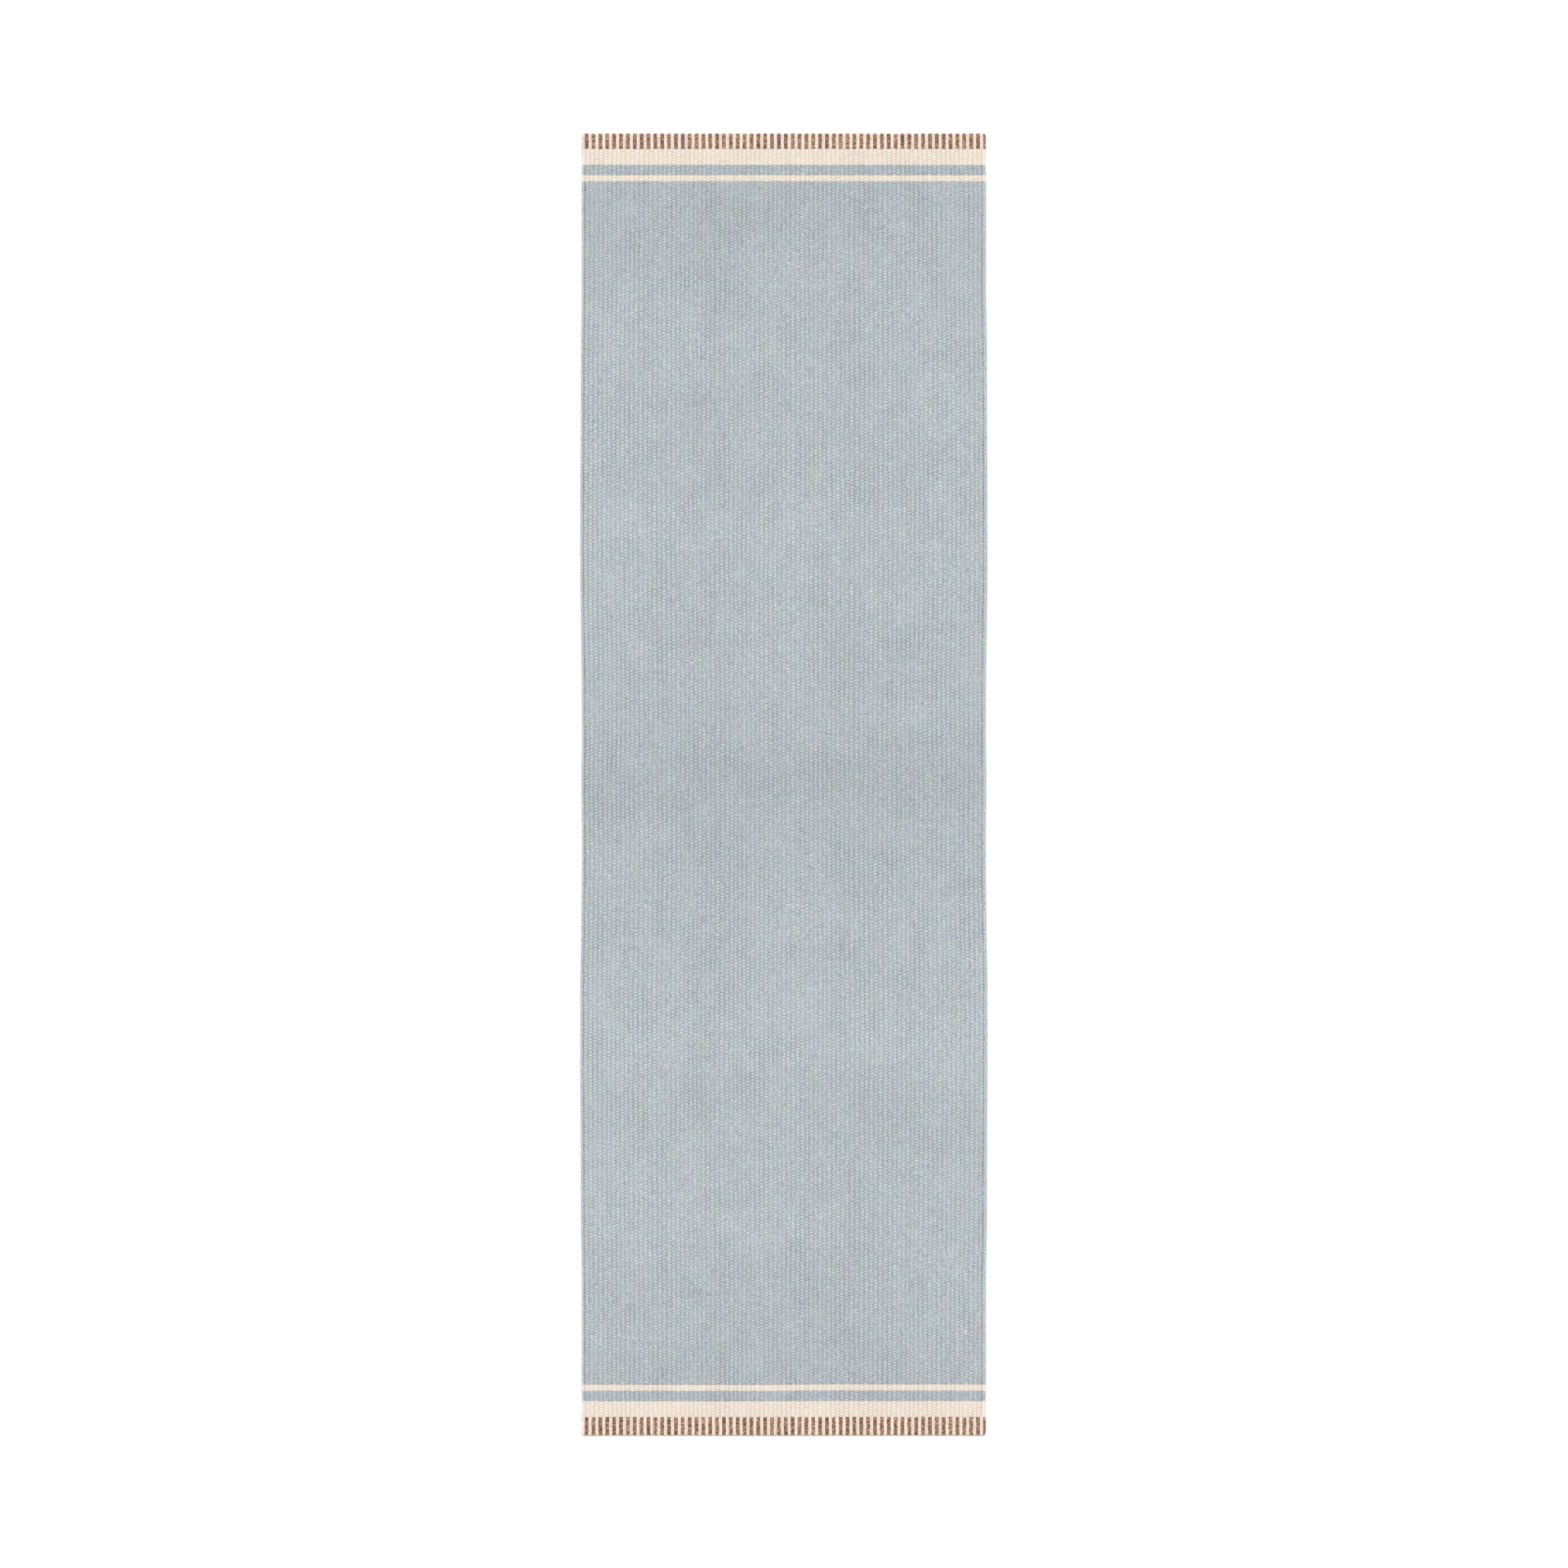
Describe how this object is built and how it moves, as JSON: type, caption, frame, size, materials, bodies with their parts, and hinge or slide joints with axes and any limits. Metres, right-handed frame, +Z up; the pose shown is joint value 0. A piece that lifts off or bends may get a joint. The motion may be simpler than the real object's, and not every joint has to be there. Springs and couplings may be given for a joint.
{
  "type": "runner rug",
  "caption": "Long thick flat-woven runner rug with narrow striped bands near its ends and cream and brown overcast end stitching; it lies flat on a floor.",
  "frame": {"origin": "middle of the rug's underside, at the centre of its footprint", "axes": "+Z up through the thickness, +Y along the rug to its head end, +X across its width"},
  "size_m": [0.76, 2.44, 0.007],
  "materials": {
    "field_yarn": "matt pale blue-grey weft yarn, weft-faced weave",
    "accent_yarn": "matt slate-blue weft yarn, weft-faced weave",
    "cream_yarn": "matt warm cream yarn",
    "brown_yarn": "matt brown plied yarn, tone varies from stitch to stitch",
    "warp_cotton": "undyed cotton cord, hidden inside the weave"
  },
  "bodies": {
    "root": {"field_weft": "field_yarn", "pinstripe_weft_head": "cream_yarn", "accent_weft_head": "accent_yarn", "cream_weft_head": "cream_yarn", "hem_fold_head": "cream_yarn", "cream_whipping_head": "cream_yarn", "brown_whipping_head": "brown_yarn", "pinstripe_weft_foot": "cream_yarn", "accent_weft_foot": "accent_yarn", "cream_weft_foot": "cream_yarn", "hem_fold_foot": "cream_yarn", "cream_whipping_foot": "cream_yarn", "brown_whipping_foot": "brown_yarn", "selvedge_cord_left": "warp_cotton", "selvedge_cord_right": "warp_cotton", "warp_loop_01": "warp_cotton", "warp_loop_02": "warp_cotton", "warp_loop_03": "warp_cotton", "warp_loop_04": "warp_cotton", "warp_loop_05": "warp_cotton", "warp_loop_06": "warp_cotton", "warp_loop_07": "warp_cotton", "warp_loop_08": "warp_cotton", "warp_loop_09": "warp_cotton", "warp_loop_10": "warp_cotton", "warp_loop_11": "warp_cotton", "warp_loop_12": "warp_cotton", "warp_loop_13": "warp_cotton", "warp_loop_14": "warp_cotton", "warp_loop_15": "warp_cotton", "warp_loop_16": "warp_cotton", "warp_loop_17": "warp_cotton", "warp_loop_18": "warp_cotton", "warp_loop_19": "warp_cotton", "warp_loop_20": "warp_cotton", "warp_loop_21": "warp_cotton", "warp_loop_22": "warp_cotton", "warp_loop_23": "warp_cotton", "warp_loop_24": "warp_cotton", "warp_loop_25": "warp_cotton", "warp_loop_26": "warp_cotton", "warp_loop_27": "warp_cotton", "warp_loop_28": "warp_cotton", "warp_loop_29": "warp_cotton", "warp_loop_30": "warp_cotton", "warp_loop_31": "warp_cotton", "warp_loop_32": "warp_cotton", "warp_loop_33": "warp_cotton", "warp_loop_34": "warp_cotton", "warp_loop_35": "warp_cotton", "warp_loop_36": "warp_cotton", "warp_loop_37": "warp_cotton", "warp_loop_38": "warp_cotton", "warp_loop_39": "warp_cotton", "warp_loop_40": "warp_cotton", "warp_loop_41": "warp_cotton", "warp_loop_42": "warp_cotton", "warp_loop_43": "warp_cotton", "warp_loop_44": "warp_cotton"}
  },
  "joints": []
}
